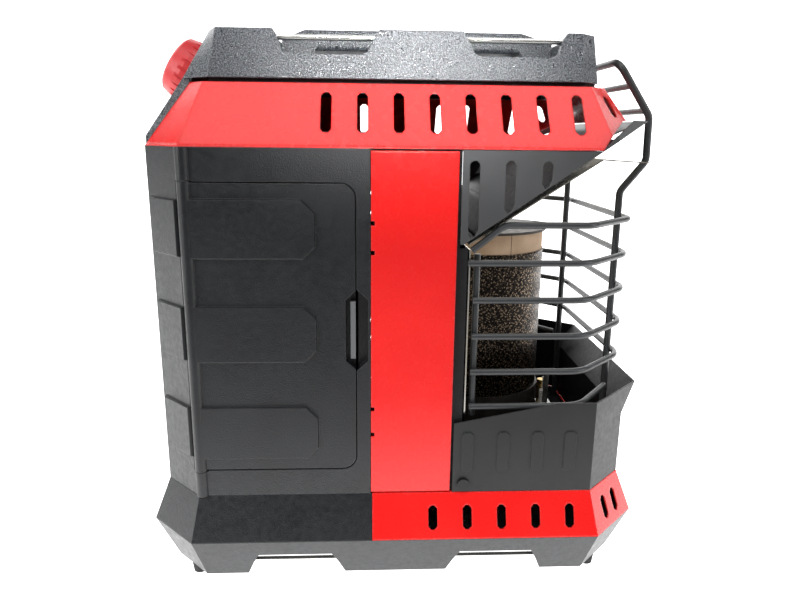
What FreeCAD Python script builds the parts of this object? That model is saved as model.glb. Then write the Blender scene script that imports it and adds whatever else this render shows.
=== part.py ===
import FreeCAD, Part
import math
import os
import re
import Sketcher

Vector = FreeCAD.Vector
Rotation = FreeCAD.Rotation
Placement = FreeCAD.Placement

# Driving sizes, in millimetres. X runs from the rear to the front, Z up, and the door is on the -Y side.
SIZES = {
    # casing, in plan an octagon with its corners cut at 45 degrees
    "body_rear": 179.4,
    "body_front": 178.1,
    "side_y": 124.6,
    "cut_rear": 29.6,
    "cut_front": 31.9,
    "body_low": 77.0,
    "body_high": 331.5,
    # base, skirts and feet
    "base_low": 8.0,
    "base_in": 3.2,
    "base_wall": 3.0,
    "base_deck": 4.0,
    "skirt_low": 44.5,
    "skirt_out": 12.2,
    "skirt_split": 20.7,
    "foot_size": 6.5,
    "foot_inset": 9.5,
    "rod_size": 1.95,
    "rod_fit": 0.05,
    "rod_half": 144.0,
    "base_rod_z": 20.0,
    "rib_thick": 4.0,
    "rib_place": 138.0,
    "base_notch_rear": 79.1,
    "base_notch_front": 74.3,
    "base_notch_half": 27.6,
    "base_notch_flare": 10.2,
    "base_notch_high": 21.6,
    "skirt_slot_x": 25.1,
    "skirt_slot_pitch": 26.2,
    "skirt_slot_rise": 6.4,
    "skirt_slot_long": 17.0,
    "skirt_slot_wide": 6.8,
    "skirt_corner_slot": 8.0,
    # sheets and mouldings
    "sheet": 1.0,
    "plastic": 2.5,
    "seam": 0.4,
    "flange": 8.0,
    # door and its hinge
    "door_low": 97.5,
    "door_high": 309.0,
    "door_edge": 31.8,
    "door_gap": 0.8,
    "door_round": 10.0,
    "hinge_x": 147.2,
    "hinge_size": 4.75,
    "hinge_sunk": 1.75,
    "hinge_pin_size": 1.75,
    "pin_fit": 0.06,
    "pin_hold": 0.02,
    "knuckle_gap": 0.6,
    "rib_proud": 2.0,
    "rib_down": 11.0,
    "rib_tall": 42.0,
    "rib_pitch": 74.8,
    "rib_reach": 59.5,
    "rib_cut": 9.0,
    "block_proud": 1.1,
    "latch_mid": 31.6,
    "latch_half": 8.0,
    "latch_low": 182.4,
    "latch_high": 227.4,
    "latch_point": 7.4,
    "catch_end": 1.4,
    "latch_deep": 7.0,
    # side panels, inner walls
    "panel_rear": 21.7,
    "panel_front": 37.9,
    "wall_gap": 3.0,
    # top band
    "band_rise": 43.4,
    "band_in": 30.3,
    "band_slot_x": 52.3,
    "band_slot_pitch": 24.9,
    "band_slot_rise": 10.2,
    "band_slot_long": 26.8,
    "band_slot_wide": 7.4,
    # top cap
    "cap_gap": 2.9,
    "cap_rise": 32.2,
    "cap_side": 95.05,
    "cap_rear": 154.2,
    "cap_front": 142.9,
    "cap_draft": 6.0,
    "cap_cut": 15.5,
    "cap_cut_top": 12.5,
    "cap_wall": 5.0,
    "fascia_lean": 0.638,
    "fascia_deep": 7.0,
    "notch_deep": 16.2,
    "well_rear": 92.0,
    "well_front": 124.0,
    "well_sole": 4.2,
    "cap_rod_y": 87.0,
    "cap_rod_down": 4.8,
    # carry handle
    "handle_rise": 10.3,
    "handle_thick": 15.8,
    "handle_drop": 8.3,
    "handle_half": 17.0,
    "handle_leg": 16.0,
    # control knob and valve
    "knob_rise": 1.2,
    "knob_size": 25.5,
    "knob_high": 31.0,
    "knob_gap": 0.8,
    "push": 4.5,
    "stem_size": 4.0,
    "collar_size": 9.0,
    "run_fit": 0.06,
    # hood and deflector
    "hood_rear": 40.3,
    "hood_drop": 64.6,
    "hood_slot_wide": 7.0,
    "hood_corner_rise": 6.2,
    "hood_tip_rise": 20.5,
    # lower shield
    "shield_rear": 39.8,
    "shield_high": 148.4,
    "shield_bend": 126.6,
    "lip_front": 191.0,
    "lip_half": 82.7,
    "lip_high": 150.0,
    # burner
    "burner_x": 74.2,
    "burner_size": 55.0,
    "screen_low": 125.5,
    "screen_high": 247.0,
    "collar_high": 263.0,
    "reflector_x": 46.0,
    # wire guard
    "wire_size": 2.4,
    "front_wire_size": 2.75,
    "rail_side": 119.3,
    "rail_start": 51.0,
    "rail_low": 144.5,
    "rail_pitch": 27.1,
    "rail_bend": 25.0,
    "front_wire_y": 69.2,
    "front_wire_x": 170.9,
    # gas inlet
    "inlet_x": 88.0,
    "inlet_y": 30.0,
    "inlet_size": 12.3,
    "inlet_drop": 40.5,
    "inlet_deep": 14.0,
    "drum_above": 17.0,
    "drum_size": 27.0,
    "port_depth": -31.0,
    "port_size": 6.0,
    "port_end": 26.0,
    "tube_size": 3.0,
    "tube_reach": 34.0,
    "tube_side": 60.0,
    "tube_back": 12.0,
    "jet_z": 92.0,
}

# Levels that follow from the sizes above.
LEVELS = {
    "foot_seat": SIZES["base_low"],
    "base_notch_z": SIZES["base_low"] + SIZES["base_notch_high"],
    "skirt_slot_low": SIZES["skirt_low"] + SIZES["skirt_slot_rise"],
    "skirt_slot_high": SIZES["skirt_low"] + SIZES["skirt_slot_rise"] + SIZES["skirt_slot_long"],
    "band_high": SIZES["body_high"] + SIZES["band_rise"],
    "band_slot_low": SIZES["body_high"] + SIZES["band_slot_rise"],
    "band_slot_high": SIZES["body_high"] + SIZES["band_slot_rise"] + SIZES["band_slot_long"],
    "hood_low": SIZES["body_high"] - SIZES["hood_drop"],
    "hood_corner_z": SIZES["body_high"] + SIZES["hood_corner_rise"],
    "hood_tip_z": SIZES["body_high"] + SIZES["hood_tip_rise"],
    "inlet_low": SIZES["body_high"] - SIZES["inlet_drop"],
}
LEVELS["cap_low"] = LEVELS["band_high"] + SIZES["cap_gap"]
LEVELS["cap_high"] = LEVELS["cap_low"] + SIZES["cap_rise"]
LEVELS["notch_floor"] = LEVELS["cap_high"] - SIZES["notch_deep"]
LEVELS["well_floor"] = LEVELS["cap_low"] + SIZES["well_sole"]
LEVELS["cap_rod_z"] = LEVELS["cap_high"] - SIZES["cap_rod_down"]
LEVELS["handle_high"] = LEVELS["cap_high"] + SIZES["handle_rise"]
LEVELS["handle_low"] = LEVELS["handle_high"] - SIZES["handle_thick"]
LEVELS["knob_z"] = LEVELS["cap_low"] + SIZES["knob_rise"]
for word, level in LEVELS.items():
    SIZES[word] = round(level, 4)


class Sizes:
    pass


S = Sizes()
for key, number in SIZES.items():
    setattr(S, key, number)

doc = FreeCAD.newDocument("heater")
sheet = doc.addObject("Spreadsheet::Sheet", "sizes")
for row, (key, number) in enumerate(SIZES.items(), start=1):
    sheet.set("A%d" % row, key)
    sheet.set("B%d" % row, str(number))
    sheet.setAlias("B%d" % row, key)
doc.recompute()

NODES = {}


def formula(text):
    """Give each size named in a formula its place in the sheet."""
    def qualify(match):
        word = match.group(0)
        return "sizes." + word if word in SIZES else word
    return re.sub(r"[a-z_]+", qualify, text)


def bind(item, **texts):
    for name, text in texts.items():
        item.setExpression(name.replace("__", "."), formula(text))


def keep(item, name):
    """Name a finished sub-part, which is written to a file of that name."""
    item.Label = name
    NODES[name] = item
    return item


def new_body(name):
    body = doc.addObject("PartDesign::Body", name)
    return keep(body, name)


def new_sketch(body, plane, level="0", turn=0.0, place=None):
    """Attach a sketch to an origin plane; turn swings a vertical plane about Z, place moves its origin."""
    sketch = body.newObject("Sketcher::SketchObject", "sketch")
    origin_plane = [f for f in body.Origin.OriginFeatures if f.Role == plane][0]
    sketch.AttachmentSupport = [(origin_plane, "")]
    sketch.MapMode = "FlatFace"
    sketch.AttachmentOffset = Placement(Vector(0, 0, 0), Rotation(Vector(0, 1, 0), turn))
    if place:
        bind(sketch, AttachmentOffset__Base__x=place[0])
        bind(sketch, AttachmentOffset__Base__z="-(%s)" % place[1])
    elif level != "0":
        bind(sketch, AttachmentOffset__Base__z=level)
    return sketch


def add_polygon(sketch, points):
    """Draw a closed outline whose corners are held by formulas."""
    first = sketch.GeometryCount
    count = len(points)
    start = []
    for index in range(count):
        angle = 2 * math.pi * index / count
        start.append(Vector(50 * math.cos(angle), 50 * math.sin(angle), 0))
    lines = []
    for index in range(count):
        lines.append(Part.LineSegment(start[index], start[(index + 1) % count]))
    sketch.addGeometry(lines, False)
    joins = []
    for index in range(count):
        joins.append(Sketcher.Constraint("Coincident", first + index, 2, first + (index + 1) % count, 1))
    sketch.addConstraint(joins)
    for index, (across, up) in enumerate(points):
        held = sketch.addConstraint([
            Sketcher.Constraint("DistanceX", first + index, 1, start[index].x),
            Sketcher.Constraint("DistanceY", first + index, 1, start[index].y),
        ])
        sketch.setExpression("Constraints[%d]" % held[0], formula(across))
        sketch.setExpression("Constraints[%d]" % held[1], formula(up))


def add_circle(sketch, across, up, size):
    index = sketch.GeometryCount
    sketch.addGeometry(Part.Circle(Vector(1, 1, 0), Vector(0, 0, 1), 3), False)
    held = sketch.addConstraint([
        Sketcher.Constraint("DistanceX", index, 3, 1.0),
        Sketcher.Constraint("DistanceY", index, 3, 1.0),
        Sketcher.Constraint("Radius", index, 3.0),
    ])
    for number, text in zip(held, (across, up, size)):
        sketch.setExpression("Constraints[%d]" % number, formula(text))


def slot_points(middle, low, high, wide, bevel="2.2"):
    """A tall slot with its corners cut, as a stamped slot looks at this size."""
    left = "%s - (%s)/2" % (middle, wide)
    right = "%s + (%s)/2" % (middle, wide)
    return [
        ("%s + %s" % (left, bevel), low), ("%s - %s" % (right, bevel), low),
        (right, "%s + %s" % (low, bevel)), (right, "%s - %s" % (high, bevel)),
        ("%s - %s" % (right, bevel), high), ("%s + %s" % (left, bevel), high),
        (left, "%s - %s" % (high, bevel)), (left, "%s + %s" % (low, bevel)),
    ]


def pad(body, sketch, length, both=False, back=False, taper=0.0):
    item = body.newObject("PartDesign::Pad", "pad")
    item.Profile = sketch
    sketch.Visibility = False
    if both:
        item.SideType = "Symmetric"
    item.Reversed = back
    item.TaperAngle = taper
    bind(item, Length=length)
    return item


def pocket(body, sketch, length=None, both=False, back=False):
    """Cut a sketch into the body; with no length it cuts right through."""
    item = body.newObject("PartDesign::Pocket", "pocket")
    item.Profile = sketch
    if both:
        item.SideType = "Symmetric"
    item.Reversed = back
    if length is None:
        item.Length = 800
    else:
        bind(item, Length=length)
    return item


def repeat_along_x(body, feature, pitch, count):
    item = body.newObject("PartDesign::LinearPattern", "row")
    item.Originals = [feature]
    axis = [f for f in body.Origin.OriginFeatures if f.Role == "X_Axis"][0]
    item.Direction = (axis, [""])
    item.Occurrences = count
    bind(item, Length="(%s)*%d" % (pitch, count - 1))
    body.Tip = item
    return item


def loft(body, first, second, cut=False):
    kind = "PartDesign::SubtractiveLoft" if cut else "PartDesign::AdditiveLoft"
    item = body.newObject(kind, "loft")
    item.Profile = first
    item.Sections = [second]
    item.Ruled = True
    return item


def octagon(out="0", front="body_front"):
    """Corners of the casing's plan outline, moved outwards by a distance."""
    rear = "(body_rear + %s)" % out
    nose = "(%s + %s)" % (front, out)
    side = "(side_y + %s)" % out
    rear_x = "(body_rear - cut_rear + 0.4142*(%s))" % out
    rear_y = "(side_y - cut_rear + 0.4142*(%s))" % out
    nose_x = "(%s - cut_front + 0.4142*(%s))" % (front, out)
    nose_y = "(side_y - cut_front + 0.4142*(%s))" % out
    return [
        ("-" + rear, "-" + rear_y), ("-" + rear_x, "-" + side), (nose_x, "-" + side), (nose, "-" + nose_y),
        (nose, nose_y), (nose_x, side), ("-" + rear_x, side), ("-" + rear, rear_y),
    ]


def plan(body, points, level):
    sketch = new_sketch(body, "XY_Plane", level)
    add_polygon(sketch, points)
    return sketch


def side_view(body, points, turn=0.0, place=None, level="0"):
    sketch = new_sketch(body, "XZ_Plane", level, turn, place)
    add_polygon(sketch, points)
    return sketch


def frustum(body, low_out, low, high_out, high, cut=False):
    return loft(body, plan(body, octagon(low_out), low), plan(body, octagon(high_out), high), cut)


def rectangle(left, low, right, high):
    return [(left, low), (right, low), (right, high), (left, high)]


def fillet(body, chosen, size):
    """Round the edges of the body's last shape that pass the test given."""
    doc.recompute()
    shape = body.Shape
    names = []
    for index, edge in enumerate(shape.Edges, start=1):
        if chosen(edge):
            names.append("Edge%d" % index)
    before = body.Tip
    item = body.newObject("PartDesign::Fillet", "round")
    item.Base = (before, names)
    bind(item, Radius=size)
    body.Tip = item
    return item


def cylinder(name, size, length, place, turn=None):
    item = doc.addObject("Part::Cylinder", name)
    if turn:
        item.Placement = Placement(Vector(0, 0, 0), turn)
    bind(item, Radius=size, Height=length)
    bind(item, Placement__Base__x=place[0], Placement__Base__y=place[1], Placement__Base__z=place[2])
    return item


def box(name, left, right, near, far, low, high):
    item = doc.addObject("Part::Box", name)
    bind(item, Length="(%s) - (%s)" % (right, left), Width="(%s) - (%s)" % (far, near))
    bind(item, Height="(%s) - (%s)" % (high, low))
    bind(item, Placement__Base__x=left, Placement__Base__y=near, Placement__Base__z=low)
    return item


def group(name, items):
    item = doc.addObject("Part::Compound", name)
    item.Links = items
    return keep(item, name)


def fuse(name, items):
    item = doc.addObject("Part::MultiFuse", name)
    item.Shapes = items
    item.Refine = True
    return item


def cut(name, base, tool):
    item = doc.addObject("Part::Cut", name)
    item.Base = base
    item.Tool = tool
    return item


def bent_path(points, bend):
    """Straight runs joined by tangent arcs, as a wire or tube is bent."""
    edges = []
    last = points[0]
    for before, corner, after in zip(points, points[1:], points[2:]):
        inward = (before - corner).normalize()
        outward = (after - corner).normalize()
        half = inward.getAngle(outward) / 2
        reach = bend / math.tan(half)
        middle_way = (inward + outward).normalize()
        centre = corner + middle_way * (bend / math.sin(half))
        start = corner + inward * reach
        end = corner + outward * reach
        edges.append(Part.LineSegment(last, start).toShape())
        edges.append(Part.Arc(start, centre - middle_way * bend, end).toShape())
        last = end
    edges.append(Part.LineSegment(last, points[-1]).toShape())
    return Part.Wire(edges)


def wire_shape(points, size, bend):
    path = bent_path(points, bend)
    ring = Part.Wire(Part.Circle(points[0], points[1] - points[0], size).toShape())
    return path.makePipeShell([ring], True, False, 2)


def wires(name, shapes):
    """A node of bent wires or tubes; one that is made of several keeps them as separate solids."""
    item = doc.addObject("Part::Feature", name)
    item.Shape = shapes[0] if len(shapes) == 1 else Part.makeCompound(shapes)
    return keep(item, name)


def mirrored(points):
    return [Vector(p.x, -p.y, p.z) for p in points]


# Base tray: a moulded dish, open below, with two hand notches in each long side.
def make_base_tray():
    body = new_body("base_tray")
    frustum(body, "(0 - base_in)", "base_low", "skirt_out", "skirt_low")
    frustum(body, "(0 - base_in - base_wall)", "base_low - 0.01", "(skirt_out - base_wall)",
            "skirt_low - base_deck", cut=True)
    ribs = new_sketch(body, "YZ_Plane", "0 - rib_place - rib_thick/2")
    low_half = "(side_y - base_in - base_wall/2)"
    high_half = "(side_y + skirt_out - base_wall - 3)"
    add_polygon(ribs, [("-" + low_half, "base_low + 2"), (low_half, "base_low + 2"),
                       (high_half, "skirt_low - base_deck/2"), ("-" + high_half, "skirt_low - base_deck/2")])
    rib = pad(body, ribs, "rib_thick")
    repeat_along_x(body, rib, "rib_place", 3)
    notches = []
    for middle in ("(0 - base_notch_rear)", "base_notch_front"):
        left = middle + " - base_notch_half"
        right = middle + " + base_notch_half"
        notches.append([(left + " - base_notch_flare", "base_low - 1"),
                        (right + " + base_notch_flare", "base_low - 1"),
                        (right + " + base_notch_flare*0.45", "base_low + base_notch_high*0.6"),
                        (right, "base_notch_z"), (left, "base_notch_z"),
                        (left + " - base_notch_flare*0.45", "base_low + base_notch_high*0.6")])
    for outline in notches:
        pocket(body, side_view(body, outline), both=True)
    posts = new_sketch(body, "XY_Plane", "foot_seat")
    for across, up in foot_places():
        add_circle(posts, across, up, "foot_size - 0.5")
    pad(body, posts, "skirt_low - base_deck/2 - foot_seat")
    holes = new_sketch(body, "YZ_Plane")
    for side in ("-", ""):
        add_circle(holes, side + "(side_y - 3.7)", "base_rod_z", "rod_size + rod_fit")
    pocket(body, holes, "2*rod_half + 1", both=True)


def foot_places():
    rear_x = "-(body_rear - cut_rear/2 - 0.7071*foot_inset)"
    rear_y = "(side_y - cut_rear/2 - 0.7071*foot_inset)"
    nose_x = "(body_front - cut_front/2 - 0.7071*foot_inset)"
    nose_y = "(side_y - cut_front/2 - 0.7071*foot_inset)"
    return [(rear_x, "-" + rear_y), (rear_x, rear_y), (nose_x, "-" + nose_y), (nose_x, nose_y)]


def make_rubber_feet():
    feet = []
    for index, (across, up) in enumerate(foot_places()):
        foot = doc.addObject("Part::Cone", "foot_%d" % index)
        bind(foot, Radius1="foot_size - 1", Radius2="foot_size", Height="foot_seat")
        bind(foot, Placement__Base__x=across, Placement__Base__y=up)
        feet.append(foot)
    group("rubber_feet", feet)


def make_base_rods():
    rods = []
    for side in ("-", ""):
        rods.append(cylinder("base_rod", "rod_size", "2*rod_half",
                             ("0 - rod_half", side + "(side_y - 3.7)", "base_rod_z"),
                             Rotation(Vector(0, 1, 0), 90)))
    group("base_rods", rods)


# Skirts: a flared band between the base and the casing, black behind and slotted red in front.
def make_skirt(name, wall, keep_front):
    body = new_body(name)
    frustum(body, "skirt_out", "skirt_low", "0", "body_low")
    frustum(body, "(skirt_out - %s)" % wall, "skirt_low - 0.01", "(0 - %s)" % wall, "body_low - sheet",
            cut=True)
    hole = plan(body, octagon("(0 - flange)"), "body_low + 1")
    pocket(body, hole, "20")
    if keep_front:
        pocket(body, side_view(body, rectangle("-300", "0", "0 - skirt_split", "200")), both=True)
    else:
        pocket(body, side_view(body, rectangle("0 - skirt_split - seam", "0", "300", "200")), both=True)
    return body


def make_skirts():
    make_skirt("rear_skirt", "plastic", False)
    body = make_skirt("front_skirt", "sheet", True)
    slot = pocket(body, side_view(body, slot_points("skirt_slot_x", "skirt_slot_low", "skirt_slot_high",
                                                    "skirt_slot_wide")), both=True)
    repeat_along_x(body, slot, "skirt_slot_pitch", 5)
    for side, turn in (("-", 45), ("", 135)):
        place = ("body_front - cut_front/2", side + "(side_y - cut_front/2)")
        for shift in ("0 - skirt_corner_slot", "skirt_corner_slot"):
            sketch = side_view(body, slot_points(shift, "skirt_slot_low", "skirt_slot_high", "skirt_slot_wide"),
                               turn, place)
            pocket(body, sketch, "30", both=True)


# Floor plate: a flat steel sheet under the cylinder and the burner.
def make_floor_plate():
    body = new_body("floor_plate")
    pad(body, plan(body, octagon("(0 - plastic - 0.5)"), "body_low"), "sheet")
    clear_knuckle(body, "body_low + 2")


def clear_knuckle(body, level):
    room = new_sketch(body, "XY_Plane", level)
    add_circle(room, "0 - hinge_x", "0 - side_y + hinge_sunk", "hinge_size + 0.3")
    pocket(body, room, "5")


# Rear casing: a moulded shell from the red panel round the rear to the far red panel.
def rear_casing_outline(out):
    corners = octagon(out)
    edge = "(0 - panel_rear - seam)"
    return [corners[0], corners[1], (edge, "-(side_y + %s)" % out), (edge, "(side_y + %s)" % out),
            corners[6], corners[7]]


def rib_spans():
    """The low and high edge of each of the three ribs, counted down from the door's top."""
    spans = []
    for index in range(3):
        high = "(door_high - rib_down - %d*rib_pitch)" % index
        spans.append(("(%s - rib_tall)" % high, high))
    return spans


def make_rear_casing():
    body = new_body("rear_casing")
    pad(body, plan(body, rear_casing_outline("0"), "body_low"), "body_high - body_low")
    inner = rear_casing_outline("(0 - plastic)")
    inner[2] = ("0", inner[2][1])
    inner[3] = ("0", inner[3][1])
    pocket(body, plan(body, inner, "body_high + 1"), "400")
    for side, turn in (("-", -45), ("", -135)):
        place = ("0 - body_rear + cut_rear/2", side + "(side_y - cut_rear/2)")
        for low, high in rib_spans():
            half = "(cut_rear*0.7071 - 4)"
            outline = rectangle("-" + half, low + " + 1", half, high + " - 1")
            pad(body, side_view(body, outline, turn, place), "block_proud + 1", taper=-25)
    for low, high in rib_spans():
        sketch = side_view(body, rib_outline(low, high, "0 - hinge_x + 8"), level="0 - side_y - rib_proud")
        pad(body, sketch, "rib_proud + 1")
    knuckles = new_sketch(body, "XY_Plane", "body_low")
    add_circle(knuckles, "0 - hinge_x", "0 - side_y + hinge_sunk", "hinge_size")
    pad(body, knuckles, "body_high - body_low")
    column = new_sketch(body, "XY_Plane", "door_high + knuckle_gap")
    add_circle(column, "0 - hinge_x", "0 - side_y + hinge_sunk", "hinge_size + door_gap")
    pocket(body, column, "door_high - door_low + 2*knuckle_gap")
    pin = new_sketch(body, "XY_Plane", "body_high - 5")
    add_circle(pin, "0 - hinge_x", "0 - side_y + hinge_sunk", "hinge_pin_size + pin_hold")
    pocket(body, pin, "body_high - body_low - 3")
    latch_box = rectangle("0 - door_edge + door_gap", "latch_low - latch_point - 4", "0 - panel_rear - seam",
                          "latch_high + latch_point + 4")
    pad(body, side_view(body, latch_box, level="side_y - latch_deep - plastic"), "latch_deep + plastic")
    opening = side_view(body, rectangle("0 - hinge_x", "door_low", "0 - door_edge", "door_high"))
    pocket(body, opening, "side_y + 20", back=True)
    fillet(body, is_opening_corner, "door_round + door_gap")
    hex_cut = side_view(body, latch_outline(), level="side_y - latch_deep")
    pocket(body, hex_cut, "latch_deep + 5", back=True)


def is_opening_corner(edge):
    """An edge through the near wall at the opening's upper or lower corner beside the latch."""
    room = edge.BoundBox
    across = room.YLength > 1 and room.XLength < 0.1 and room.ZLength < 0.1
    beside = abs(room.XMin + S.door_edge) < 0.1 and room.YMax < 0
    return across and beside and (abs(room.ZMin - S.door_low) < 0.1 or abs(room.ZMin - S.door_high) < 0.1)


def rib_outline(low, high, start):
    reach = "(0 - rib_reach)"
    return [(start, low), (reach + " - rib_cut", low), (reach, low + " + rib_cut"),
            (reach, high + " - rib_cut"), (reach + " - rib_cut", high), (start, high)]


def latch_outline():
    left = "0 - latch_mid - latch_half"
    right = "0 - latch_mid + latch_half"
    return [(left, "latch_low"), ("0 - latch_mid", "latch_low - latch_point"), (right, "latch_low"),
            (right, "latch_high"), ("0 - latch_mid", "latch_high + latch_point"), (left, "latch_high")]


# Cylinder door: a ribbed moulding that turns on a steel pin in its own hinge column.
def make_cylinder_door():
    body = new_body("cylinder_door")
    edge = "0 - door_edge - door_gap"
    leaf = rectangle("0 - hinge_x", "door_low + door_gap", edge, "door_high - door_gap")
    pad(body, side_view(body, leaf, level="side_y - plastic"), "plastic")
    fillet(body, lambda e: e.BoundBox.XMin > -S.door_edge - 5 and e.BoundBox.YLength > 2, "door_round")
    for low, high in rib_spans():
        pad(body, side_view(body, rib_outline(low, high, "0 - hinge_x"), level="side_y - 1"),
            "rib_proud + 1", taper=-20)
    column = new_sketch(body, "XY_Plane", "door_low - knuckle_gap/2")
    add_circle(column, "0 - hinge_x", "0 - side_y + hinge_sunk", "hinge_size")
    pad(body, column, "door_high - door_low + knuckle_gap")
    bore = new_sketch(body, "XY_Plane", "door_high + 5")
    add_circle(bore, "0 - hinge_x", "0 - side_y + hinge_sunk", "hinge_pin_size + pin_fit")
    pocket(body, bore, "door_high - door_low + 10")
    cup = rectangle("0 - latch_mid - latch_half - plastic", "latch_low - latch_point - 3", edge,
                    "latch_high + latch_point + 3")
    pad(body, side_view(body, cup, level="side_y - latch_deep - plastic"), "latch_deep + plastic")
    pocket(body, side_view(body, latch_outline(), level="side_y - latch_deep"), "latch_deep + 5", back=True)


def make_hinge_pin():
    pin = cylinder("pin", "hinge_pin_size", "body_high - body_low - 8",
                   ("0 - hinge_x", "0 - side_y + hinge_sunk", "body_low + 3"))
    keep(pin, "door_hinge_pin")


def make_door_catch():
    bar = box("catch_bar", "0 - door_edge - door_gap - 3.6", "0 - door_edge - door_gap", "0 - side_y + 1.5",
              "0 - side_y + latch_deep", "latch_low + catch_end", "latch_high - catch_end")
    keep(bar, "door_catch")


# Red side panels: bent sheets that cover the middle, with small keyhole notches in the rear edge.
def make_side_panel(name, side):
    body = new_body(name)
    left = "0 - panel_rear"
    right = "panel_front"
    outer = "(0 - side_y)"
    skin = "(0 - side_y + sheet)"
    inner = "(0 - side_y + flange)"
    lip = "sheet"
    points = [(left, outer), (right, outer), (right, inner), (right + " - " + lip, inner),
              (right + " - " + lip, skin), (left + " + " + lip, skin), (left + " + " + lip, inner),
              (left, inner)]
    if side > 0:
        points = [(x, "-(%s)" % y) for x, y in points]
    pad(body, plan(body, points, "body_low + sheet + 0.2"), "body_high - body_low - 2*sheet - 0.4")
    for low, high in ((259.5, 262.5), (280.0, 283.0), (123.5, 126.5), (143.5, 146.5)):
        notch = rectangle(left + " - 1", str(low), left + " + 2.5", str(high))
        pocket(body, side_view(body, notch), "side_y + 20", back=side < 0)


# Inner walls: folded sheets across the casing, one behind the cylinder space and one behind the burner.
def make_inner_wall(name, place, low):
    body = new_body(name)
    reach = "(side_y - wall_gap)"
    back = "(%s)" % place
    face = "(%s + sheet)" % place
    toe = "(%s + flange)" % place
    points = [(back, "-" + reach), (toe, "-" + reach), (toe, "-%s + sheet" % reach),
              (face, "-%s + sheet" % reach), (face, reach + " - sheet"), (toe, reach + " - sheet"),
              (toe, reach), (back, reach)]
    pad(body, plan(body, points, low), "body_high - sheet - (%s)" % low)
    return body


def tube_hole(body):
    hole = new_sketch(body, "YZ_Plane", "panel_front - 5")
    add_circle(hole, "0", "jet_z", "tube_size + 0.4")
    pocket(body, hole, "20", back=True)


def make_inner_walls():
    make_inner_wall("partition", "0 - panel_rear + sheet + 0.4", "body_low + sheet")
    body = make_inner_wall("fire_wall", "panel_front + 0.2", "body_low + sheet")
    pocket(body, side_view(body, rectangle("hood_rear", "hood_low - 3", "hood_rear + 20", "400")), both=True)
    tube_hole(body)


def make_deck_plate():
    body = new_body("deck_plate")
    outline = octagon("(0 - plastic - 0.5)")
    edge = "panel_front + 2"
    outline = [outline[0], outline[1], (edge, outline[1][1]), (edge, outline[6][1]), outline[6], outline[7]]
    pad(body, plan(body, outline, "body_high - sheet"), "sheet")
    holes = new_sketch(body, "XY_Plane", "body_high + 1")
    add_circle(holes, "0 - inlet_x", "0 - inlet_y + tube_reach", "tube_size + 1")
    add_circle(holes, "panel_front - tube_back", "tube_side", "tube_size + 1")
    pocket(body, holes, "10")
    clear_knuckle(body, "body_high + 1")


# Top band: a painted sheet that leans inwards, slotted for the warm air.
def make_top_band():
    body = new_body("top_band")
    frustum(body, "0", "body_high", "(0 - band_in)", "band_high")
    frustum(body, "(0 - sheet)", "body_high + sheet", "(0 - band_in - sheet)", "band_high - sheet", cut=True)
    pocket(body, plan(body, octagon("(0 - flange)"), "body_high + 5"), "20")
    pocket(body, plan(body, octagon("(0 - band_in - 6)"), "band_high + 5"), "20")
    rear = new_sketch(body, "YZ_Plane", "0 - cap_rear + 30")
    low_half = "(side_y - cut_rear)"
    high_half = "(side_y - cut_rear - 0.4142*band_in)"
    add_polygon(rear, [("-" + low_half, "body_high - 1"), (low_half, "body_high - 1"),
                       (high_half, "band_high + 1"), ("-" + high_half, "band_high + 1")])
    pocket(body, rear, "100")
    front = [("body_front - cut_front - 10.9", "body_high - 1"), ("body_front - cut_front - 2.6", "body_high + 9.5"),
             ("body_front - 18", "hood_tip_z"), ("body_front + 10", "hood_tip_z"),
             ("body_front + 10", "body_high - 1")]
    pocket(body, side_view(body, front), both=True)
    slot = pocket(body, side_view(body, slot_points("0 - band_slot_x", "band_slot_low", "band_slot_high",
                                                    "band_slot_wide")), both=True)
    repeat_along_x(body, slot, "band_slot_pitch", 8)
    for side, turn in (("-", 45), ("", 135)):
        place = ("body_front - cut_front/2", side + "(side_y - cut_front/2)")
        sketch = side_view(body, slot_points("2", "hood_tip_z + 2", "band_slot_high", "band_slot_wide"), turn, place)
        pocket(body, sketch, "60", both=True)


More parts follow.
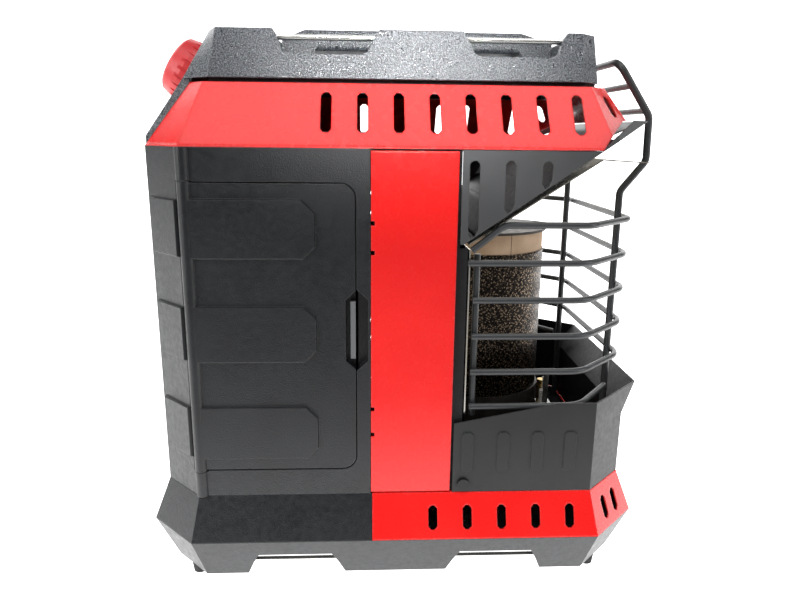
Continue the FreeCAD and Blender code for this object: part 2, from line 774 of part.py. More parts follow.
# Top cap: a textured moulding with a well for the hand, notched sides and a sloping rear face.
def make_top_cap():
    body = new_body("top_cap")
    rise = "(cap_high - cap_low)"

    def ring(level_x, front, side_x, corner):
        return [("-(%s)" % level_x, "-(cap_side - 15)"), ("-(%s)" % side_x, "0 - cap_side"),
                (front + " - " + corner, "0 - cap_side"), (front, "-(cap_side - %s)" % corner),
                (front, "cap_side - " + corner), (front + " - " + corner, "cap_side"),
                ("-(%s)" % side_x, "cap_side"), ("-(%s)" % level_x, "cap_side - 15")]
    low_ring = plan(body, ring("cap_rear", "cap_front", "cap_rear - 20.3", "cap_cut"), "cap_low")
    high_ring = plan(body, ring("cap_rear - fascia_lean*" + rise, "cap_front - cap_draft",
                                "cap_rear - 27.5", "cap_cut_top"), "cap_high")
    loft(body, low_ring, high_ring)
    foot_z = "(cap_low - (body_rear - cap_rear)/fascia_lean)"
    deep = "fascia_deep"
    low_slab = plan(body, rectangle("0 - body_rear", "-(side_y - cut_rear - 3.4)", "0 - body_rear + " + deep,
                                    "side_y - cut_rear - 3.4"), foot_z)
    high_slab = plan(body, rectangle("0 - cap_rear", "-(cap_side - 15)", "0 - cap_rear + " + deep,
                                     "cap_side - 15"), "cap_low")
    loft(body, low_slab, high_slab)
    sill = plan(body, rectangle("0 - body_rear", "-(side_y - cut_rear - 3.4)", "0 - body_rear + " + deep,
                                "side_y - cut_rear - 3.4"), "body_high + seam")
    pad(body, sill, foot_z + " - body_high - seam")
    well = plan(body, rectangle("0 - well_rear", "-(cap_side - cap_wall)", "well_front",
                                "cap_side - cap_wall"), "cap_high + 1")
    pocket(body, well, "cap_high + 1 - well_floor")
    bay = plan(body, rectangle("0 - cap_rear + 22", "-(cap_side - 20)", "0 - well_rear - 4", "cap_side - 20"),
               "cap_low - 1")
    pocket(body, bay, rise + " - 4", back=True)
    for left, right, floor_left, floor_right in ((-87.5, -17.0, -79.0, -27.9), (43.0, 113.5, 54.3, 104.5)):
        outline = [(str(floor_left), "notch_floor"), (str(floor_right), "notch_floor"),
                   (str(floor_right + 4), "notch_floor + 2"), (str(right - 1), "cap_high - 3"),
                   (str(right + 2), "cap_high + 1"), (str(left - 2), "cap_high + 1"),
                   (str(left + 1), "cap_high - 3"), (str(floor_left - 4), "notch_floor + 2")]
        pocket(body, side_view(body, outline), both=True)
    holes = new_sketch(body, "YZ_Plane", "0 - well_rear - 6")
    for side in ("-", ""):
        add_circle(holes, side + "cap_rod_y", "cap_rod_z", "rod_size + rod_fit")
    pocket(body, holes, "well_rear + 6 + cap_front", back=True)
    return body


def slope_turn():
    """The turn that lays local Z along the outward normal of the sloping rear face."""
    angle = math.degrees(math.atan(S.fascia_lean))
    return Rotation(Vector(0, 1, 0), angle - 90)


def slope_point(depth):
    """A point on the knob's axis, a distance outside the sloping face."""
    outward = slope_turn().multVec(Vector(0, 0, 1))
    face = Vector(-S.cap_rear + S.fascia_lean * (S.knob_z - S.cap_low), 0, S.knob_z)
    return face + outward * depth


def on_slope(item, depth):
    item.Placement = Placement(slope_point(depth), slope_turn())


def bored_cap(body):
    """The cap with the knob's dish and the collar's hole, square to the sloping face."""
    dish = doc.addObject("Part::Cylinder", "knob_dish")
    bind(dish, Radius="knob_size + knob_gap", Height="60")
    on_slope(dish, -S.push - S.knob_gap)
    hole = doc.addObject("Part::Cylinder", "collar_hole")
    bind(hole, Radius="collar_size + 1", Height="60")
    on_slope(hole, -30)
    boss = doc.addObject("Part::Cylinder", "knob_boss")
    bind(boss, Radius="knob_size + knob_gap + plastic", Height="push + 2*knob_gap + plastic")
    on_slope(boss, -S.push - S.knob_gap - S.plastic)
    whole = fuse("cap_with_boss", [body, boss])
    outer = box("cap_space", "0 - body_rear", "cap_front", "0 - cap_side", "cap_side", "body_high", "cap_high")
    trimmed = doc.addObject("Part::Common", "cap_trimmed")
    trimmed.Base = whole
    trimmed.Tool = outer
    dished = cut("cap_dished", trimmed, dish)
    bored = cut("cap_bored", dished, hole)
    body.Label = "cap_moulding"
    keep(bored, "top_cap")


def make_cap_rods():
    rods = []
    for side in ("-", ""):
        rods.append(cylinder("cap_rod", "rod_size", "well_rear + well_front + 7",
                             ("0 - well_rear - 4", side + "cap_rod_y", "cap_rod_z"),
                             Rotation(Vector(0, 1, 0), 90)))
    group("cap_rods", rods)


# Carry handle: a moulded bridge over the well.
def make_carry_handle():
    body = new_body("carry_handle")
    rear = "0 - well_rear + 0.3"
    front = "well_front - 0.3"
    inner_rear = "0 - well_rear + handle_leg"
    inner_front = "well_front - handle_leg"
    outline = [(rear, "well_floor"), (inner_rear, "well_floor"), (inner_rear, "handle_low - 8"),
               (inner_rear + " + 10", "handle_low"), (inner_front + " - 10", "handle_low"),
               (inner_front, "handle_low - 8"), (inner_front, "well_floor"), (front, "well_floor"),
               (front, "handle_high - handle_drop"), ("well_front - 26", "handle_high"),
               ("0 - well_rear + 19", "handle_high"), (rear, "handle_high - handle_drop")]
    pad(body, side_view(body, outline), "2*handle_half", both=True)
    fillet(body, lambda e: e.BoundBox.XLength > 60, "3.5")


# Control knob: a ribbed cap on the valve stem. It turns, and is pushed in to light the pilot.
def make_knob():
    body = new_body("control_knob")
    profile = new_sketch(body, "XZ_Plane")
    add_polygon(profile, [("0", "0"), ("knob_size", "0"), ("knob_size", "knob_high*0.6"),
                          ("knob_size - 2.5", "knob_high - 2"), ("knob_size - 5", "knob_high"),
                          ("0", "knob_high")])
    turned = body.newObject("PartDesign::Revolution", "turned")
    turned.Profile = profile
    turned.ReferenceAxis = (profile, ["V_Axis"])
    turned.Angle = 360
    groove = new_sketch(body, "XY_Plane", "knob_high + 1")
    add_polygon(groove, rectangle("knob_size - 0.9", "-1.3", "knob_size + 3", "1.3"))
    first = pocket(body, groove, "knob_high - 3")
    ring = body.newObject("PartDesign::PolarPattern", "ring")
    ring.Originals = [first]
    ring.Axis = ([f for f in body.Origin.OriginFeatures if f.Role == "Z_Axis"][0], [""])
    ring.Angle = 360
    ring.Occurrences = 24
    body.Tip = ring
    bore = new_sketch(body, "XY_Plane", "knob_high - 6")
    add_circle(bore, "0", "0", "stem_size + pin_hold")
    pocket(body, bore, "knob_high")
    dish = new_sketch(body, "XY_Plane", "knob_high + 1")
    add_circle(dish, "0", "0", "knob_size - 9")
    pocket(body, dish, "2.2")
    on_slope(body, -0.5)


def make_stem():
    stem = doc.addObject("Part::Cylinder", "stem")
    bind(stem, Radius="stem_size", Height="knob_high - 6.5 + 18")
    on_slope(stem, -18.5)
    keep(stem, "valve_stem")


def make_push_collar():
    sleeve = doc.addObject("Part::Cylinder", "collar_sleeve")
    bind(sleeve, Radius="collar_size", Height="14")
    on_slope(sleeve, -21 - S.push)
    bore = doc.addObject("Part::Cylinder", "collar_bore")
    bind(bore, Radius="stem_size + run_fit", Height="40")
    on_slope(bore, -19)
    keep(cut("sleeve_bored", sleeve, bore), "push_collar")


def make_gas_valve():
    shell = doc.addObject("Part::Cylinder", "valve_shell")
    bind(shell, Radius="15.6", Height="24")
    on_slope(shell, -38 - S.push)
    bore = doc.addObject("Part::Cylinder", "valve_bore")
    bind(bore, Radius="collar_size + run_fit", Height="60")
    on_slope(bore, -21 - 2 * S.push - 0.6)
    middle = slope_point(S.port_depth)
    port = cylinder("valve_port", "port_size", "port_end", ("%.3f" % middle.x, "0", "%.3f" % middle.z),
                    Rotation(Vector(1, 0, 0), -90))
    keep(cut("valve_bored", fuse("valve_block", [shell, port]), bore), "gas_valve")


def make_valve_bracket():
    centre = slope_point(-36)
    foot = box("bracket_foot", "%.3f" % (centre.x - 4), "%.3f" % (centre.x + 20), "-18", "18", "body_high",
               "body_high + 1.5")
    web = box("bracket_web", "%.3f" % (centre.x - 4), "%.3f" % (centre.x - 2.5), "-18", "18", "body_high",
              "%.3f" % centre.z)
    plate = fuse("bracket_plate", [foot, web])
    room = doc.addObject("Part::Cylinder", "bracket_room")
    bind(room, Radius="16", Height="60")
    on_slope(room, -38 - S.push)
    middle = slope_point(S.port_depth)
    port = cylinder("bracket_port", "port_size + 0.2", "port_end", ("%.3f" % middle.x, "0", "%.3f" % middle.z),
                    Rotation(Vector(1, 0, 0), -90))
    keep(cut("bracket_cut", plate, fuse("bracket_space", [room, port])), "valve_bracket")


# Regulator: a round die-cast body with the cylinder's threaded inlet pointing down.
def make_regulator():
    centre = ("0 - inlet_x", "0 - inlet_y")
    drum = cylinder("drum", "drum_size", "inlet_drop - drum_above - sheet", centre + ("inlet_low + drum_above",))
    neck = cylinder("neck", "inlet_size + 3.7", "drum_above + 1", centre + ("inlet_low",))
    thread = cylinder("thread", "inlet_size", "inlet_deep + 1", centre + ("inlet_low - 1",))
    seat = cylinder("seat", "inlet_size - 1.45", "3", centre + ("inlet_low + inlet_deep",))
    bored = cut("regulator_threaded", fuse("regulator_solid", [drum, neck]), thread)
    keep(cut("regulator_bored", bored, seat), "regulator")


def make_gas_tubes():
    port = slope_point(S.port_depth)
    inlet_z = S.inlet_low + S.drum_above + 10
    out_y = -S.inlet_y + S.tube_reach
    across_y = S.port_end + 18
    supply = [Vector(-S.inlet_x, out_y - 7, inlet_z), Vector(-S.inlet_x, out_y, inlet_z),
              Vector(-S.inlet_x, out_y, port.z), Vector(-S.inlet_x, across_y, port.z),
              Vector(port.x, across_y, port.z), Vector(port.x, S.port_end, port.z)]
    wires("supply_tube", [wire_shape(supply, S.tube_size, 6)])
    top = S.body_high + 8
    side_y = S.port_end - 4
    down_x = S.panel_front - S.tube_back
    run = [Vector(port.x, side_y, port.z - S.port_size), Vector(port.x, side_y, top),
           Vector(port.x, S.tube_side, top), Vector(down_x, S.tube_side, top),
           Vector(down_x, S.tube_side, S.jet_z), Vector(down_x, 0, S.jet_z),
           Vector(S.burner_x - 12, 0, S.jet_z)]
    wires("burner_tube", [wire_shape(run, S.tube_size, 12)])


# Burner: a half-round plenum under a wire screen, between a collar above and a ring below.
def half_round(name, size, thick, low, high):
    body = new_body(name)
    sketch = new_sketch(body, "XY_Plane", low)
    add_circle(sketch, "burner_x", "0", size)
    pad(body, sketch, "(%s) - (%s)" % (high, low))
    if thick:
        hollow = new_sketch(body, "XY_Plane", "(%s) + 1" % high)
        add_circle(hollow, "burner_x", "0", "(%s) - (%s)" % (size, thick))
        pocket(body, hollow, "(%s) - (%s) + 2" % (high, low))
    behind = plan(body, rectangle("-50", "-100", "reflector_x + sheet + 0.3", "100"), "(%s) + 1" % high)
    pocket(body, behind, "(%s) - (%s) + 2" % (high, low))
    return body


def make_burner():
    half_round("burner_screen", "burner_size", "1.2", "screen_low", "screen_high")
    half_round("burner_plenum", "burner_size - 4", "1.5", "screen_low", "collar_high")
    half_round("burner_collar", "burner_size - 1", "2.8", "screen_high", "collar_high")
    half_round("burner_cap", "burner_size + 1.5", "", "collar_high", "collar_high + 2")
    half_round("burner_base", "burner_size + 1.5", "7", "body_low + sheet", "screen_low")


def make_reflector():
    body = new_body("reflector")
    face = "(reflector_x)"
    edge = "(side_y - 8.5)"
    points = [(face, "-60"), (face + " + 2", "-(%s)" % edge), (face + " + 2 + sheet", "-(%s)" % edge),
              (face + " + sheet", "-60"), (face + " + sheet", "60"), (face + " + 2 + sheet", edge),
              (face + " + 2", edge), (face, "60")]
    pad(body, plan(body, points, "body_low + 2"), "262 - body_low - 2")
    tube_hole(body)


def make_orifice_holder():
    block = box("holder_block", "burner_x - 12", "burner_x + 6", "-9", "9", "body_low + sheet", "100")
    jet = cylinder("holder_jet", "5", "14", ("burner_x - 2", "0", "99"))
    solid = fuse("holder_solid", [block, jet])
    port = cylinder("holder_port", "tube_size + pin_hold", "6", ("burner_x - 13", "0", "jet_z"), Rotation(Vector(0, 1, 0), 90))
    keep(cut("holder_bored", solid, port), "orifice_holder")


# Hood: cheeks and a sloping roof that carry the heat away from the cap.
def hood_line(shift):
    return [("hood_rear + 2.2", "hood_low + %s" % shift), ("body_front - cut_front", "hood_corner_z + %s" % shift),
            ("body_front", "hood_tip_z + %s" % shift)]


def make_hood():
    body = new_body("hood")
    pad(body, plan(body, octagon("(0 - seam)"), "hood_low - 5"), "hood_tip_z - hood_low + 5")
    pocket(body, plan(body, octagon("(0 - seam - sheet)"), "hood_tip_z + 1"), "200")
    low = hood_line("0")
    under = low + [("body_front + 10", "hood_tip_z"), ("body_front + 10", "hood_low - 10"),
                   ("0 - 300", "hood_low - 10"), ("0 - 300", "hood_low"), ("hood_rear", "hood_low")]
    pocket(body, side_view(body, under), both=True)
    pocket(body, side_view(body, rectangle("0 - 300", "0", "hood_rear", "400")), both=True)
    roof = hood_line("0.4")
    roof = roof[:2] + [("body_front - 4", "hood_tip_z - 1.4"), ("body_front - 4", "hood_tip_z - 0.4"),
                       (roof[1][0] + " - 0.3", roof[1][1] + " + sheet"), ("hood_rear + 2.2", "hood_low + 1.4")]
    pad(body, side_view(body, roof), "2*(side_y - cut_front - 4)", both=True)
    pad(body, side_view(body, [roof[0], roof[1], roof[4], roof[5]]), "2*(side_y - seam - 0.5)", both=True)
    above = [("0 - 300", "body_high - seam"), ("body_front - cut_front - 10.2", "body_high - seam"),
             ("body_front - cut_front - 1.8", "body_high + 9.5"), ("body_front - 17.2", "hood_tip_z"),
             ("body_front - 17.2", "band_high + 20"), ("0 - 300", "band_high + 20")]
    pocket(body, side_view(body, above), both=True)
    for middle, low_down, high_down in ((48.7, 59.0, 7.3), (73.3, 41.6, 7.3), (98.6, 24.5, 7.3)):
        low_z = "(body_high - %.1f)" % low_down
        points = slot_points(str(middle), low_z, "(body_high - %.1f)" % high_down, "hood_slot_wide")
        points[0] = (points[0][0], low_z + " - 1.5")
        points[2] = (points[2][0], low_z + " + 4.5")
        pocket(body, side_view(body, points), both=True)


def make_deflector():
    body = new_body("deflector")
    outline = [("hood_rear + 7.5", "hood_low - 1.6"), ("body_front - cut_front - 7", "hood_corner_z - 12.9"),
               ("body_front + 5", "hood_corner_z - 15.7"), ("body_front + 5", "hood_corner_z - 14.9"),
               ("body_front - cut_front - 7.4", "hood_corner_z - 12"), ("hood_rear + 7.5", "hood_low - 0.6")]
    pad(body, side_view(body, outline), "2*(side_y - 8.3)", both=True)
    for side in ("-", ""):
        corner = [("body_front - cut_front - 3", side + "(side_y + 30)"),
                  ("body_front - cut_front - 3", side + "(side_y - 6)"),
                  ("body_front + 7", side + "(side_y - cut_front - 5)"),
                  ("body_front + 40", side + "(side_y + 30)")]
        pocket(body, plan(body, corner, "400"), "200")


# Lower shield: a folded tray front with pressed ribs and a flared lip.
def shield_ring(out, lip):
    near = "(side_y + %s)" % out
    corner_x = "(body_front - cut_front + 0.4142*(%s))" % out
    if lip:
        front = "(lip_front + %s)" % out
        half = "(lip_half + 0.4142*(%s))" % out
    else:
        front = "(body_front + %s)" % out
        half = "(side_y - cut_front + 0.4142*(%s))" % out
    rear = "shield_rear"
    if out != "0":
        rear = "shield_rear - 5"
    return [(rear, "-" + near), (corner_x, "-" + near), (front, "-" + half), (front, half),
            (corner_x, near), (rear, near)]


def make_lower_shield():
    body = new_body("lower_shield")
    inset = "(0 - sheet)"
    pad(body, plan(body, shield_ring("0", False), "body_low + seam"), "shield_bend - body_low - seam")
    loft(body, plan(body, shield_ring("0", False), "shield_bend"), plan(body, shield_ring("0", True), "lip_high"))
    pocket(body, plan(body, shield_ring(inset, False), "shield_bend"), "100")
    loft(body, plan(body, shield_ring(inset, False), "shield_bend"),
         plan(body, shield_ring(inset, True), "lip_high + 0.01"), cut=True)
    top = [("shield_rear - 10", "131.1"), ("shield_rear + 78", "shield_high"),
           ("body_front - cut_front + 2", "shield_high"), ("lip_front + 5", "lip_high + 0.2"),
           ("lip_front + 5", "lip_high + 20"), ("shield_rear - 10", "lip_high + 20")]
    pocket(body, side_view(body, top), both=True)
    for middle in (50.3, 77.3, 103.3, 128.3):
        for side in (-1, 1):
            points = slot_points(str(middle), "94", "126", "9")
            level = "side_y - 0.5" if side < 0 else "0 - side_y + 0.5"
            sketch = side_view(body, points, level=level)
            pad(body, sketch, "1.3", back=side > 0)


def make_shield_screws():
    screws = []
    for side, turn in (("-", 90), ("", -90)):
        screws.append(cylinder("screw_head", "4.6", "2.2", ("48", side + "(side_y)", "83.9"),
                               Rotation(Vector(1, 0, 0), turn)))
    group("shield_screws", screws)


# Wire guard: bent rails welded outside two bent front wires and two side wires.
def rail_points(level):
    bend_x = S.body_front - S.cut_front - 12
    front_x = S.front_wire_x + S.front_wire_size + S.wire_size - 0.2
    half = S.rail_side - (front_x - bend_x)
    return [Vector(S.rail_start, -S.rail_side, level), Vector(bend_x, -S.rail_side, level),
            Vector(front_x, -half, level), Vector(front_x, half, level), Vector(bend_x, S.rail_side, level),
            Vector(S.rail_start, S.rail_side, level)]


def make_guard():
    for index in range(1, 5):
        points = rail_points(S.rail_low + S.rail_pitch * index)
        if index == 4:
            points[0].x = points[5].x = S.hood_rear + 6.2
        wires("guard_rail_%d" % (index + 1), [wire_shape(points, S.wire_size, S.rail_bend)])
    low = rail_points(S.rail_low)
    near = [low[0], low[1], Vector(S.front_wire_x - 3, -S.front_wire_y - 8, S.rail_low)]
    wires("guard_rail_1", [wire_shape(near, S.wire_size, S.rail_bend),
                           wire_shape(mirrored(near), S.wire_size, S.rail_bend)])
    high = rail_points(S.rail_low + S.rail_pitch * 5)
    drop = [Vector(S.hood_rear + 9, -S.rail_side, S.hood_low - 5), Vector(72, -S.rail_side, high[0].z)]
    top = drop + high[1:5] + mirrored(drop)[::-1]
    wires("guard_rail_6", [wire_shape(top, S.wire_size, 14)])
    x = S.front_wire_x
    y = S.front_wire_y
    top_z = S.body_high
    side = [Vector(x, -y, S.body_low + 5), Vector(x - 1, -y, top_z - 31.5), Vector(x + 17.3, -y, top_z - 8.5),
            Vector(x + 16.5, -y, top_z + 24.5), Vector(x - 10, -y, top_z + 63)]
    loop = side + mirrored(side)[::-1]
    wires("guard_front_wire", [wire_shape(loop, S.front_wire_size, 9)])
    cross = []
    for across, up in ((x + 1.5, top_z + 46.3), (x + 14, top_z + 28.5)):
        run = [Vector(across, -y + S.front_wire_size, up), Vector(across, y - S.front_wire_size, up)]
        cross.append(Part.makeCylinder(S.wire_size, run[1].y - run[0].y, run[0], Vector(0, 1, 0)))
    wires("guard_cross_wires", cross)
    uprights = []
    for sign in (-1, 1):
        base = Vector(S.rail_start + 3, sign * (S.rail_side - 2 * S.wire_size), 136)
        uprights.append(Part.makeCylinder(S.wire_size, S.hood_low - 8 - 136, base, Vector(0, 0, 1)))
    wires("guard_side_wires", uprights)


# Pilot group: a bracket on the floor in front of the burner, with its flame, spark and sensor.
def make_pilot():
    plate = box("pilot_plate", "burner_x + 50", "burner_x + 62", "-52", "-28", "112", "113.2")
    leg = box("pilot_leg", "burner_x + 60.8", "burner_x + 62", "-52", "-28", "body_low + sheet", "112")
    keep(fuse("pilot_sheet", [plate, leg]), "pilot_bracket")
    x = S.burner_x + 54
    insulator = Part.makeCylinder(3.2, 13, Vector(x, -40, 113.2))
    needle = Part.makeCylinder(0.9, 12, Vector(x, -40, 126.2))
    item = doc.addObject("Part::Feature", "electrode")
    item.Shape = insulator.fuse(needle)
    keep(item, "spark_electrode")
    keep(cylinder("sensor", "2.2", "34", ("burner_x + 54", "-48", "113.2")), "thermocouple")
    keep(cylinder("pilot", "3.4", "20", ("burner_x + 54", "-32", "113.2")), "pilot_burner")


def make_small_parts():
    keep(box("switch", "-60", "-36", "70", "94", "body_low + sheet", "body_low + sheet + 30"), "tip_switch")
    keep(box("spark", "-100", "-60", "-70", "-48", "body_high", "body_high + 22"), "igniter")
    seal = doc.addObject("Part::Torus", "seal_ring")
    bind(seal, Radius1="inlet_size - 3", Radius2="1.5")
    bind(seal, Placement__Base__x="0 - inlet_x", Placement__Base__y="0 - inlet_y",
         Placement__Base__z="inlet_low + inlet_deep + 1.5")
    keep(seal, "inlet_seal")
    screws = []
    for across in ("0 - well_rear + 8", "well_front - 8"):
        for up in ("-9", "9"):
            screws.append(cylinder("handle_screw", "3.5", "2.4", (across, up, "cap_low - 2.4")))
    group("handle_screws", screws)


make_base_tray()
make_rubber_feet()
make_base_rods()
make_skirts()
make_floor_plate()
make_rear_casing()
make_cylinder_door()
make_hinge_pin()
make_door_catch()
make_side_panel("near_panel", -1)
make_side_panel("far_panel", 1)
make_inner_walls()
make_deck_plate()
make_top_band()
bored_cap(make_top_cap())
make_cap_rods()
make_carry_handle()
make_knob()
make_stem()
make_push_collar()
make_gas_valve()
make_valve_bracket()
make_regulator()
make_gas_tubes()
make_burner()
make_reflector()
make_orifice_holder()
make_hood()
make_deflector()
make_lower_shield()
make_shield_screws()
make_guard()
make_pilot()
make_small_parts()
doc.recompute()

faults = []
for item in doc.Objects:
    if "Invalid" in item.State or "Error" in item.State:
        faults.append("%s: %s" % (item.Label, item.State))
for name, item in NODES.items():
    if item.Shape.isNull() or not item.Shape.isValid():
        faults.append("%s has no valid shape" % name)
if faults:
    raise RuntimeError("; ".join(faults))

os.makedirs("parts", exist_ok=True)
for name, item in sorted(NODES.items()):
    shape = item.Shape
    shape.exportStep("parts/%s.step" % name)
    low = shape.BoundBox
    print("%-18s solids %d volume %9.0f  x %.1f %.1f y %.1f %.1f z %.1f %.1f" % (
        name, len(shape.Solids), shape.Volume, low.XMin, low.XMax, low.YMin, low.YMax, low.ZMin, low.ZMax))
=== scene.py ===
import math

import bpy
from mathutils import Matrix, Vector


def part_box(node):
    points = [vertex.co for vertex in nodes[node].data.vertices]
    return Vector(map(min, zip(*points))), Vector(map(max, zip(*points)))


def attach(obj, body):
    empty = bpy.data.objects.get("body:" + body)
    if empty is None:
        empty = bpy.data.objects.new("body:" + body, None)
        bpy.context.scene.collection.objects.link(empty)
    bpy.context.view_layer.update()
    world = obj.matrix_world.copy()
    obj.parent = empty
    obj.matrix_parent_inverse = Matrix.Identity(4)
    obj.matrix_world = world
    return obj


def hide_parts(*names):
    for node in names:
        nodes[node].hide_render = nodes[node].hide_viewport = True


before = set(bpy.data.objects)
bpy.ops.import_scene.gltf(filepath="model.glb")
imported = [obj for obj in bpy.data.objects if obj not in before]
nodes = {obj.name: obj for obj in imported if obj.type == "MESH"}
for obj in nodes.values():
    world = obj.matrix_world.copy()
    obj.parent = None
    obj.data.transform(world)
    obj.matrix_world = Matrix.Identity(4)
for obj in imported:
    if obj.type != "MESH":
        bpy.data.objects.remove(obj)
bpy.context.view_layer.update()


# The camera stands nearly square to the door side, level with the red top band, and looks slightly down.
# Its place and turn were fitted to the straight edges of the casing, skirts and rails.
# The lens has no shift, and nothing is out of focus.
def aim_camera():
    stand = (-0.02395, -0.586457, 0.341714)
    focal_length, film_width = 30.416, 36.0
    yaw, pitch, roll = 0.049, -0.242, 0.011
    forward = Vector((math.sin(yaw) * math.cos(pitch), math.cos(yaw) * math.cos(pitch), math.sin(pitch)))
    level = Vector((math.cos(yaw), -math.sin(yaw), 0))
    upright = level.cross(forward)
    right = level * math.cos(roll) + upright * math.sin(roll)
    up = upright * math.cos(roll) - level * math.sin(roll)
    turn = Matrix((right, up, -forward)).transposed().to_4x4()
    camera = bpy.data.objects.new("camera", bpy.data.cameras.new("camera"))
    camera.matrix_world = Matrix.Translation(stand) @ turn
    camera.data.lens = focal_length
    camera.data.sensor_width = film_width
    camera.data.clip_start = 0.01
    bpy.context.scene.collection.objects.link(camera)
    bpy.context.scene.camera = camera


aim_camera()


# The room is a pale floor that runs up into a pale wall, under soft studio light.
# Panels hang over the heater and stand at its left and at the burner end, and a narrow one lights the cap.
# The paper glows most just before the heater, so the low black faces shine and the high ones stay dark.
def light_panel(name, place, target, size, power, spread=180):
    lamp = bpy.data.lights.new(name, "AREA")
    lamp.shape = "RECTANGLE"
    lamp.size, lamp.size_y = size
    lamp.energy = power
    lamp.spread = math.radians(spread)
    holder = bpy.data.objects.new(name, lamp)
    direction = Vector(target) - Vector(place)
    holder.location = place
    holder.rotation_euler = direction.to_track_quat("-Z", "Y").to_euler()
    bpy.context.scene.collection.objects.link(holder)


def studio():
    """The camera sees plain white paper and room, and the heater gets only the light set here."""
    room_light, paper_light, dim_paper_light = 0.12, 2.2, 0.05
    dim_before, bright_behind = -0.50, -0.24
    world = bpy.data.worlds.new("studio")
    world.use_nodes = True
    glow = world.node_tree.nodes["Background"]
    seen = world.node_tree.nodes.new("ShaderNodeLightPath")
    level = world.node_tree.nodes.new("ShaderNodeMapRange")
    level.inputs["To Min"].default_value = room_light
    level.inputs["To Max"].default_value = 1.0
    glow.inputs["Color"].default_value = (1.0, 1.0, 1.0, 1)
    world.node_tree.links.new(seen.outputs["Is Camera Ray"], level.inputs["Value"])
    world.node_tree.links.new(level.outputs["Result"], glow.inputs["Strength"])
    bpy.context.scene.world = world
    light_panel("top_light", (0.1, -0.7, 1.7), (0, 0, 0.2), (1.6, 1.0), 13)
    light_panel("cap_light", (0.04, -1.25, 0.69), (0.005, -0.1, 0.39), (0.16, 0.10), 0.13, 9)
    light_panel("left_light", (-1.5, -1.0, 0.9), (0, 0, 0.2), (0.8, 1.2), 24)
    light_panel("end_light", (1.5, -0.7, 0.8), (0.1, 0, 0.2), (0.8, 1.0), 9)
    bpy.context.scene.view_settings.view_transform = "Standard"
    half, depth, rise, bend = 2.5, 1.6, 2.4, 0.8
    steps = 12
    profile = [(-half, 0.0), (depth - bend, 0.0)]
    for step in range(1, steps + 1):
        angle = math.pi / 2 * step / steps
        profile.append((depth - bend + bend * math.sin(angle), bend - bend * math.cos(angle)))
    profile.append((depth, rise))
    mesh = bpy.data.meshes.new("backdrop")
    points = [(side * half, y, z) for y, z in profile for side in (-1, 1)]
    faces = [(2 * i, 2 * i + 1, 2 * i + 3, 2 * i + 2) for i in range(len(profile) - 1)]
    mesh.from_pydata(points, [], faces)
    for face in mesh.polygons:
        face.use_smooth = True
    floor = bpy.data.objects.new("backdrop", mesh)
    bpy.context.scene.collection.objects.link(floor)
    paper = bpy.data.materials.new("pale_paper")
    paper.use_nodes = True
    tree = paper.node_tree
    shader = tree.nodes["Principled BSDF"]
    shader.inputs["Roughness"].default_value = 0.8
    shader.inputs["Specular IOR Level"].default_value = 0.1
    shader.inputs["Emission Color"].default_value = (1, 1, 1, 1)
    place = tree.nodes.new("ShaderNodeTexCoord")
    parts = tree.nodes.new("ShaderNodeSeparateXYZ")
    tree.links.new(place.outputs["Object"], parts.inputs[0])
    fall = tree.nodes.new("ShaderNodeMapRange")
    fall.inputs["From Min"].default_value = dim_before
    fall.inputs["From Max"].default_value = bright_behind
    fall.inputs["To Min"].default_value = dim_paper_light
    fall.inputs["To Max"].default_value = paper_light
    seen_paper = tree.nodes.new("ShaderNodeLightPath")
    brighter = tree.nodes.new("ShaderNodeMath")
    brighter.operation = "MAXIMUM"
    tree.links.new(parts.outputs["Y"], fall.inputs["Value"])
    tree.links.new(fall.outputs["Result"], brighter.inputs[0])
    tree.links.new(seen_paper.outputs["Is Camera Ray"], brighter.inputs[1])
    tree.links.new(brighter.outputs["Value"], shader.inputs["Emission Strength"])
    shader.inputs["Base Color"].default_value = (0.35, 0.35, 0.35, 1)
    mesh.materials.append(paper)


studio()


# The base tray is one black moulding with a fine leather grain, open below, on four feet.
# Its grain is spark-eroded into the mould, so it lies on every outer face alike.
# Long use leaves faint broad patches, a little paler and a little darker.
def new_finish(name, colour, roughness, metallic=0.0):
    finish = bpy.data.materials.new(name)
    finish.use_nodes = True
    shader = finish.node_tree.nodes["Principled BSDF"]
    shader.inputs["Base Color"].default_value = colour + (1,)
    shader.inputs["Roughness"].default_value = roughness
    shader.inputs["Metallic"].default_value = metallic
    return finish


def node(finish, kind, **values):
    made = finish.node_tree.nodes.new(kind)
    for name, value in values.items():
        setattr(made, name, value)
    return made


def wire_up(finish, source, target):
    finish.node_tree.links.new(source, target)


def spots(finish, scale, detail=2.0, stretch=(1, 1, 1)):
    """Noise laid through the object in metres, with so many spots to the metre."""
    place = node(finish, "ShaderNodeTexCoord")
    mapping = node(finish, "ShaderNodeMapping")
    mapping.inputs["Scale"].default_value = stretch
    noise = node(finish, "ShaderNodeTexNoise")
    noise.inputs["Scale"].default_value = scale
    noise.inputs["Detail"].default_value = detail
    wire_up(finish, place.outputs["Object"], mapping.inputs["Vector"])
    wire_up(finish, mapping.outputs["Vector"], noise.inputs["Vector"])
    return noise.outputs["Fac"]


def pebbles(finish, scale, smooth=0.6):
    place = node(finish, "ShaderNodeTexCoord")
    cells = node(finish, "ShaderNodeTexVoronoi", feature="SMOOTH_F1")
    cells.inputs["Scale"].default_value = scale
    cells.inputs["Smoothness"].default_value = smooth
    wire_up(finish, place.outputs["Object"], cells.inputs["Vector"])
    return cells.outputs["Distance"]


